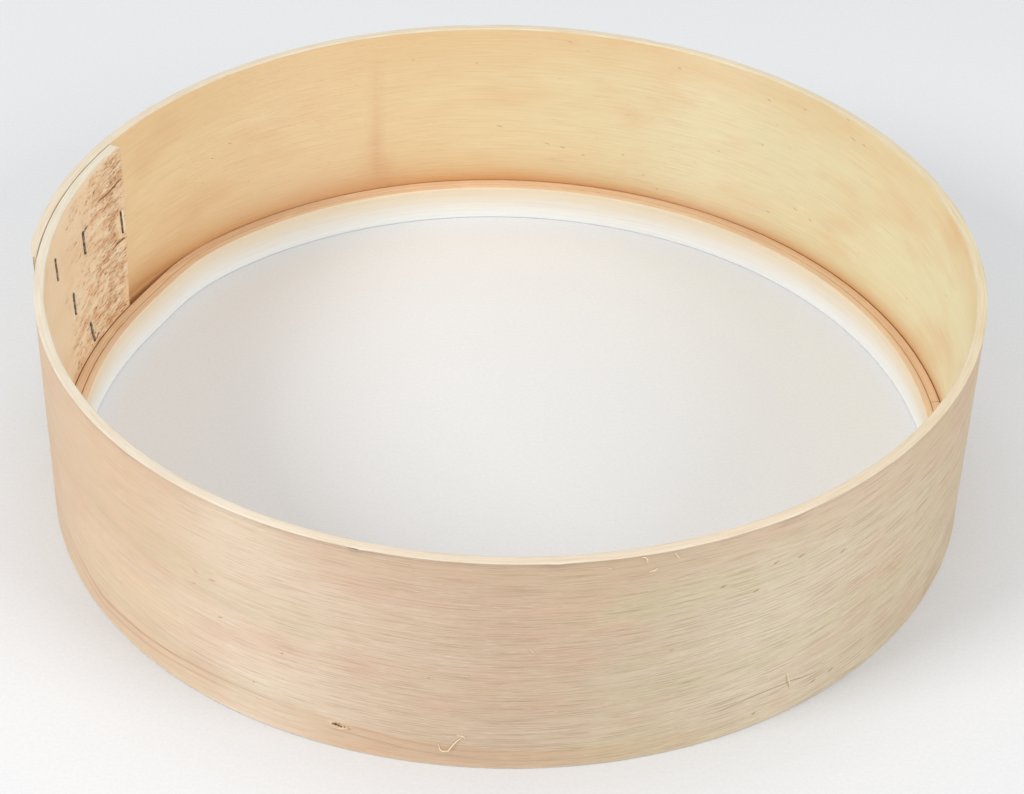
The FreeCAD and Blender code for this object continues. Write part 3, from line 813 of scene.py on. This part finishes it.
def upper_share(angle, height, outside, inside):
    """How much warmer the wood is under the rim, and high up on the left outside."""
    under_rim = smooth(height, HEIGHT - 0.022, HEIGHT - 0.004) * (1 - smooth(angle, 205, 190) * inside)
    left = outside * smooth(angle, 264, 232) * smooth(height, 0.026, 0.050)
    return np.maximum(0.30 * under_rim, 0.28 * left)


def stain_share(angle, height):
    """How dark the faint upright stain is."""
    half_width = 1.2 + 1.3 * smooth(height, 0.05, 0.012)
    strength = (0.20 + 0.35 * smooth(height, 0.06, 0.02)) * smooth(height, 0.074, 0.060)
    sway = angle - STAIN_ANGLE - 0.5 * lattice(height * 90, height * 0, 61)
    return strength * smooth(np.abs(sway), half_width, half_width * 0.35)


def outside_strip_marks(angle, height):
    """Numbers for the marks of the outer face."""
    return {
        "foot_band": (0.14 + 0.34 * smooth(angle, 230, 262)) * smooth(angle, 310, 262),
        "growth_line": 0.65 * smooth(angle, 296, 262) * smooth(angle, 186, 200),
        "crack": 0.65 * smooth(np.abs(angle - CRACK_MIDDLE), 9.5, 4.0),
        "knot": 0.8 * smooth(knot_ring(angle, height), 1.25, 0.75)}


def inside_strip_marks(angle, height):
    """Numbers for the marks of the inner face."""
    bridge = smooth(np.abs(angle - 360 - BRIDGE_ANGLE), 11.0, 8.5)
    return {
        "torn": torn_share(angle, height),
        "split_width": nearest_split(angle, height)[1],
        "shade_above_hoops": shade_above_hoops_share(angle, height),
        "stain": stain_share(angle, height),
        # Painted shadow along the join over the hoops, left out where they bridge the step
        "seam_shadow": (1 - bridge) * (1 - 0.5 * smooth(angle, 395, 430)),
        # Painted light in the shaded gap where the hoops bridge the step
        "gap": 0.9 * bridge * smooth(height, HOOP_TOP + 0.0002, HOOP_TOP - 0.0010),
        # Painted shadow beside each staple's crown
        "staple_shadow": beside_staples(angle, height, -0.00050, 0.00030),
        # Painted highlight on the raised lip beside each crown
        "lip": beside_staples(angle, height, 0.00085, 0.00040)}


def strip_marks(angles, ring):
    """Numbers kept on the strip's mesh for its material."""
    height = np.array([row[0] for row in ring])[:, None] + 0 * angles[None, :]
    angle = 0 * height + angles[None, :]
    way_in = np.array([row[2] for row in ring])[:, None] + 0 * angle
    outside = np.array([row[3] == "outside" for row in ring])[:, None] + 0 * angle
    inside = np.array([row[3] == "inside" for row in ring])[:, None] + 0 * angle
    along = np.radians(angle) * RADIUS
    fine_drift = 0.0006 * lattice(along * 30, height * 20, 52)
    marks = {
        "turn": (angle - INNER_END) / (OUTER_END - INNER_END), "along": along, "height": height,
        "drift": 0.0020 * lattice(along * 7, height * 6, 51) + fine_drift,
        "inside": way_in, "rim": 1 - np.maximum(outside, inside),
        "upper": upper_share(angle, height, outside, inside),
        "split_level": nearest_split(angle, height)[0],
        "growth": np.interp(angle, *zip(*GROWTH_LINE)),
        "crack_level": np.interp(angle, *zip(*CRACK))}
    for name, values in outside_strip_marks(angle, height).items():
        marks[name] = values * outside
    for name, values in inside_strip_marks(angle, height).items():
        marks[name] = values * inside
    return marks


def grid_mesh(name, points, marks):
    """Mesh from a ring of rows by columns, closed round the section and capped at both ends."""
    rows, columns = points.shape[:2]
    index = np.arange(rows * columns).reshape(rows, columns)
    after = np.roll(index, -1, axis=0)
    quads = np.stack([index[:, :-1], index[:, 1:], after[:, 1:], after[:, :-1]], axis=-1)
    faces = quads.reshape(-1, 4).tolist() + [index[:, 0].tolist(), index[::-1, -1].tolist()]
    mesh = bpy.data.meshes.new(name)
    mesh.from_pydata(points.reshape(-1, 3).tolist(), [], faces)
    for mark, values in marks.items():
        layer = mesh.attributes.new(mark, "FLOAT", "POINT")
        layer.data.foreach_set("value", np.asarray(values, dtype=np.float32).reshape(-1))
    mesh.polygons.foreach_set("use_smooth", [True] * (len(faces) - 2) + [False] * 2)
    mesh.update()
    return mesh


def add_piece(name, mesh, material):
    """Piece of the object that stays with its one body."""
    piece = bpy.data.objects.new(name, mesh)
    bpy.context.collection.objects.link(piece)
    dress(piece, material)
    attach(piece, "root")
    return piece


def make_wall():
    """The drum wall, built as one closed strip with its relief."""
    angles, ring = strip_columns(), section()
    mesh = grid_mesh("wall_veneer", rows_to_points(angles, ring), strip_marks(angles, ring))
    wall = add_piece("wall_veneer", mesh, wall_material())
    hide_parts("wall_band")


# --- loose fibres and flecks -------------------------------------------------------------

def on_face(angle, height, stand, outside):
    """Point at an angle and a height, standing off the wall's outer or inner face."""
    face = outer_face if outside else inner_face
    radius = float(face(np.array([angle], dtype=float))[0])
    radius += stand if outside else -stand
    x, y = radius * unit(angle)
    return Vector((x, y, height))


def spindle(path, thickness, tone, flatness=1.0):
    """Tapered thread along a path: vertices, faces and one tone per vertex."""
    sides = 5
    points, faces = [], []
    for number, point in enumerate(path):
        before, after = path[max(number - 1, 0)], path[min(number + 1, len(path) - 1)]
        heading = (after - before).normalized()
        out = Vector((point.x, point.y, 0)).normalized()
        side = heading.cross(out).normalized()
        lift = side.cross(heading)
        share = number / (len(path) - 1)
        girth = thickness / 2 * (0.25 + 0.75 * math.sin(math.pi * min(max(share, 0.04), 0.96)))
        for corner in range(sides):
            turn = 2 * math.pi * corner / sides
            points.append(point + girth * (math.cos(turn) * side + flatness * math.sin(turn) * lift))
    for ring in range(len(path) - 1):
        for corner in range(sides):
            a, b = ring * sides + corner, ring * sides + (corner + 1) % sides
            faces.append((a, b, b + sides, a + sides))
    last = (len(path) - 1) * sides
    faces += [tuple(range(sides))[::-1], tuple(range(last, last + sides))]
    return points, faces, [tone] * len(points)


def threads_piece(name, threads, material):
    """One piece made of many threads."""
    points, faces, tones = [], [], []
    for thread_points, thread_faces, thread_tones in threads:
        base = len(points)
        points += thread_points
        faces += [tuple(corner + base for corner in face) for face in thread_faces]
        tones += thread_tones
    mesh = bpy.data.meshes.new(name)
    mesh.from_pydata(points, [], faces)
    mesh.attributes.new("tone", "FLOAT", "POINT").data.foreach_set("value", tones)
    mesh.polygons.foreach_set("use_smooth", [True] * len(faces))
    add_piece(name, mesh, material)


def thread(marks, thickness, tone, outside=True, flatness=1.0):
    """Thread through (angle, height, stand) marks given in degrees and millimetres."""
    path = [on_face(angle, height / 1000, stand / 1000, outside) for angle, height, stand in marks]
    return spindle(path, thickness / 1000, tone, flatness)


def loose_fibres():
    """The lifted fibres and splinters outside."""
    return [
        thread([(264.10, 8.4, 0.0), (264.22, 6.8, 0.2), (264.50, 6.1, 0.35), (265.16, 6.3, 0.3),
                (265.70, 8.8, 0.2), (266.20, 10.7, 0.1), (266.87, 12.3, 0.0)], 0.36, 0.0),
        thread([(266.05, 12.5, 0.0), (266.60, 12.4, 0.05), (267.0, 11.8, 0.05),
                (266.7, 11.0, 0.0)], 0.32, 0.0),
        thread([(304.25, 16.4, 0.2), (304.6, 13.0, 0.5), (304.98, 9.4, 0.2)], 0.34, 0.1),
        thread([(284.9, 76.4, 0.1), (285.3, 76.5, 0.5), (285.62, 75.4, 0.5),
                (285.5, 74.4, 0.3)], 0.26, 0.0),
        thread([(288.6, 76.0, 0.2), (288.9, 74.6, 0.4), (289.2, 73.4, 0.1)], 0.24, 0.05),
        thread([(285.9, 70.8, 0.1), (286.4, 71.1, 0.4), (286.8, 71.7, 0.2)], 0.28, 0.0),
        thread([(281.4, 73.4, 0.1), (281.6, 74.2, 0.3), (281.9, 73.2, 0.1)], 0.24, 0.1),
        thread([(273.5, 46.5, 0.0), (273.9, 45.4, 0.1), (274.3, 44.3, 0.0)], 0.26, 0.1),
        thread([(234.8, 48.4, 0.1), (235.2, 48.1, 0.3), (235.6, 47.6, 0.1)], 0.26, 0.3)]


# Brown flecks in the wood: angle, height and length in degrees and millimetres
OUTSIDE_FLECKS = [
    (238.4, 35.0, 1.6), (234.9, 43.1, 1.2), (263.0, 33.5, 0.8), (242.5, 15.3, 0.8), (246.3, 30.7, 1.0),
    (294.6, 59.2, 1.8), (298.8, 53.8, 2.2), (301.1, 61.7, 2.0), (304.5, 60.3, 2.2), (310.8, 54.1, 2.2),
    (311.3, 7.4, 2.2), (289.1, 40.1, 1.4), (300.2, 5.1, 1.4), (308.6, 7.0, 1.6), (237.6, 47.8, 2.4)]
INSIDE_FLECKS = [
    (493.0, 49.5, 1.6), (496.2, 46.5, 1.0), (451.8, 36.3, 2.2), (444.9, 29.7, 2.4), (442.6, 28.6, 2.0),
    (439.5, 26.2, 1.4), (442.1, 73.2, 2.0), (455.3, 62.9, 1.0), (464.4, 65.7, 1.0), (426.0, 69.9, 1.4),
    (411.8, 68.5, 1.6), (405.7, 71.1, 1.0), (398.0, 76.0, 1.4), (396.6, 70.0, 2.6), (394.4, 70.5, 1.6),
    (419.1, 40.7, 0.9), (412.2, 49.7, 1.2), (405.6, 29.9, 2.0), (402.8, 28.8, 1.6), (410.2, 23.6, 1.4),
    (430.4, 22.0, 1.0), (428.2, 17.4, 1.0), (380.8, 28.5, 0.8), (369.5, 48.8, 0.8), (433.6, 28.9, 1.2)]


def half_turn(length, radius):
    """Half of a length in millimetres, as degrees round a radius."""
    return math.degrees(length / 2000 / radius)


def fleck(angle, height, length, outside, width=0.34):
    """Small dark lens that lies in the face of the wood."""
    half = half_turn(length, RADIUS)
    marks = [(angle + share * half, height + 0.12 * share * length, 0.05)
             for share in (-1, -0.4, 0.3, 1)]
    return thread(marks, width, 0.65, outside, 0.25)


# Dark pits of the pin knot: degrees along, then rise and length in millimetres, then tone
KNOT_PITS = [(-0.70, 0.0, 0.5, 1.1), (-0.38, 0.1, 1.1, 1.5), (-0.05, -0.1, 0.8, 1.2),
             (0.22, -0.3, 0.7, 1.2), (0.66, -0.1, 0.5, 1.0), (1.05, 0.4, 0.6, 1.0),
             (1.20, -0.5, 0.5, 0.9)]


def knot_pit(offset, rise, length, tone):
    """One dark pit of the pin knot."""
    angle, half = KNOT_ANGLE + offset, half_turn(length, RADIUS)
    level = KNOT_HEIGHT * 1000 + rise
    marks = [(angle - half, level, -0.1), (angle, level, 0.02), (angle + half, level, -0.1)]
    return thread(marks, 0.62, tone, True, 0.4)


def knot_lip(turn):
    """One short piece of the pale lip round the pin knot."""
    arc = [math.radians(turn + step) for step in (-16, 0, 16)]
    marks = [(KNOT_ANGLE - 0.1 + 0.95 * math.cos(a), KNOT_HEIGHT * 1000 + 1.2 * math.sin(a), 0.05)
             for a in arc]
    return thread(marks, 0.3, 0.15, True, 0.6)


def knot_threads():
    """Dark pits of the pin knot and the pale lip round it, open at one end."""
    return [knot_pit(*pit) for pit in KNOT_PITS] + [knot_lip(turn) for turn in range(60, 330, 30)]


def split_thread(level, length):
    """Dark strand that lines one split of the inner end: painted shade inside the split."""
    reach = math.degrees(length / LAP_RADIUS)
    steps = [INNER_END + share * reach for share in (0.06, 0.25, 0.45, 0.65, 0.82, 0.97)]
    marks = [(angle, 1000 * float(split_line(angle, level)), 0.12) for angle in steps]
    return thread(marks, 0.42, 1.0, False, 0.5)


def torn_threads():
    """Short fibres standing off the torn face of the lap."""
    random = np.random.default_rng(77)
    threads = [split_thread(level, length) for level, length, _ in SPLITS]
    while len(threads) < len(SPLITS) + TORN_FIBRES:
        angle = random.uniform(INNER_END + 0.4, 181.0)
        height = random.uniform(HOOP_TOP + 0.0015, HEIGHT - 0.003)
        torn = float(torn_share(np.array([angle]), np.array([height]))[0])
        if random.uniform(0.05, 1.1) > torn:
            continue
        length = random.uniform(1.2, 3.4)
        half = half_turn(length, LAP_RADIUS)
        lean = random.normal(0, 0.12) * length
        lift = random.uniform(0.05, 0.45)
        level = height * 1000
        marks = [(angle - half, level - lean / 2, 0.02), (angle, level, 0.12 + lift / 2),
                 (angle + half, level + lean / 2, lift if random.uniform() < 0.5 else 0.02)]
        threads.append(thread(marks, random.uniform(0.12, 0.28), random.uniform(0.0, 0.9), False, 0.7))
    return threads


def make_fibres():
    """Everything thinner than the strip: flecks, splinters, the knot and torn fibres."""
    material = sliver_material()
    threads_piece("loose_fibres", loose_fibres(), material)
    flecks = [fleck(*mark, True) for mark in OUTSIDE_FLECKS]
    flecks += [fleck(*mark, False) for mark in INSIDE_FLECKS]
    threads_piece("wood_flecks", flecks, material)
    threads_piece("pin_knot", knot_threads(), material)
    threads_piece("torn_fibres", torn_threads(), material)


# --- scene -------------------------------------------------------------------------------

def dress(piece, material):
    """Give every slot of a piece one material."""
    if not piece.material_slots:
        piece.data.materials.append(material)
    for slot in piece.material_slots:
        slot.material = material


def make_floor():
    """Wide pale floor under the foot."""
    half = 3.0
    corners = [(-half, -half, 0), (half, -half, 0), (half, half, 0), (-half, half, 0)]
    mesh = bpy.data.meshes.new("floor")
    mesh.from_pydata(corners, [], [(0, 1, 2, 3)])
    floor = bpy.data.objects.new("floor", mesh)
    floor.location.z = -FLOOR_DROP
    bpy.context.collection.objects.link(floor)
    dress(floor, floor_material())


def dress_cad():
    """Better materials for the CAD pieces that keep their shape, and softer staple edges."""
    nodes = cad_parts
    dress(nodes["foot_hoop_outer"], hoop_material(
        "outer_hoop_wood", (230, 199, 164), (226, 190, 146), (230, 200, 160), 0.30))
    # The inner hoop fades to near white at its foot: painted glare that hides the shade against the
    # floor
    dress(nodes["foot_hoop_inner"], hoop_material(
        "inner_hoop_wood", (230, 204, 174), (232, 218, 194), (238, 242, 244), 0.0))
    steel = steel_material("staple_wire", (96, 90, 84), (196, 190, 182))
    rusty = steel_material("rusty_staple_wire", (66, 44, 28), (186, 150, 112))
    for name in nodes:
        if name.startswith("lap_staple"):
            dress(nodes[name], rusty if name == "lap_staple_3" else steel)
            bevel = nodes[name].modifiers.new("drawn_edges", "BEVEL")
            bevel.width = 0.00012
            bevel.segments = 2


make_camera()
make_lights()
make_floor()
make_wall()
make_fibres()
dress_cad()
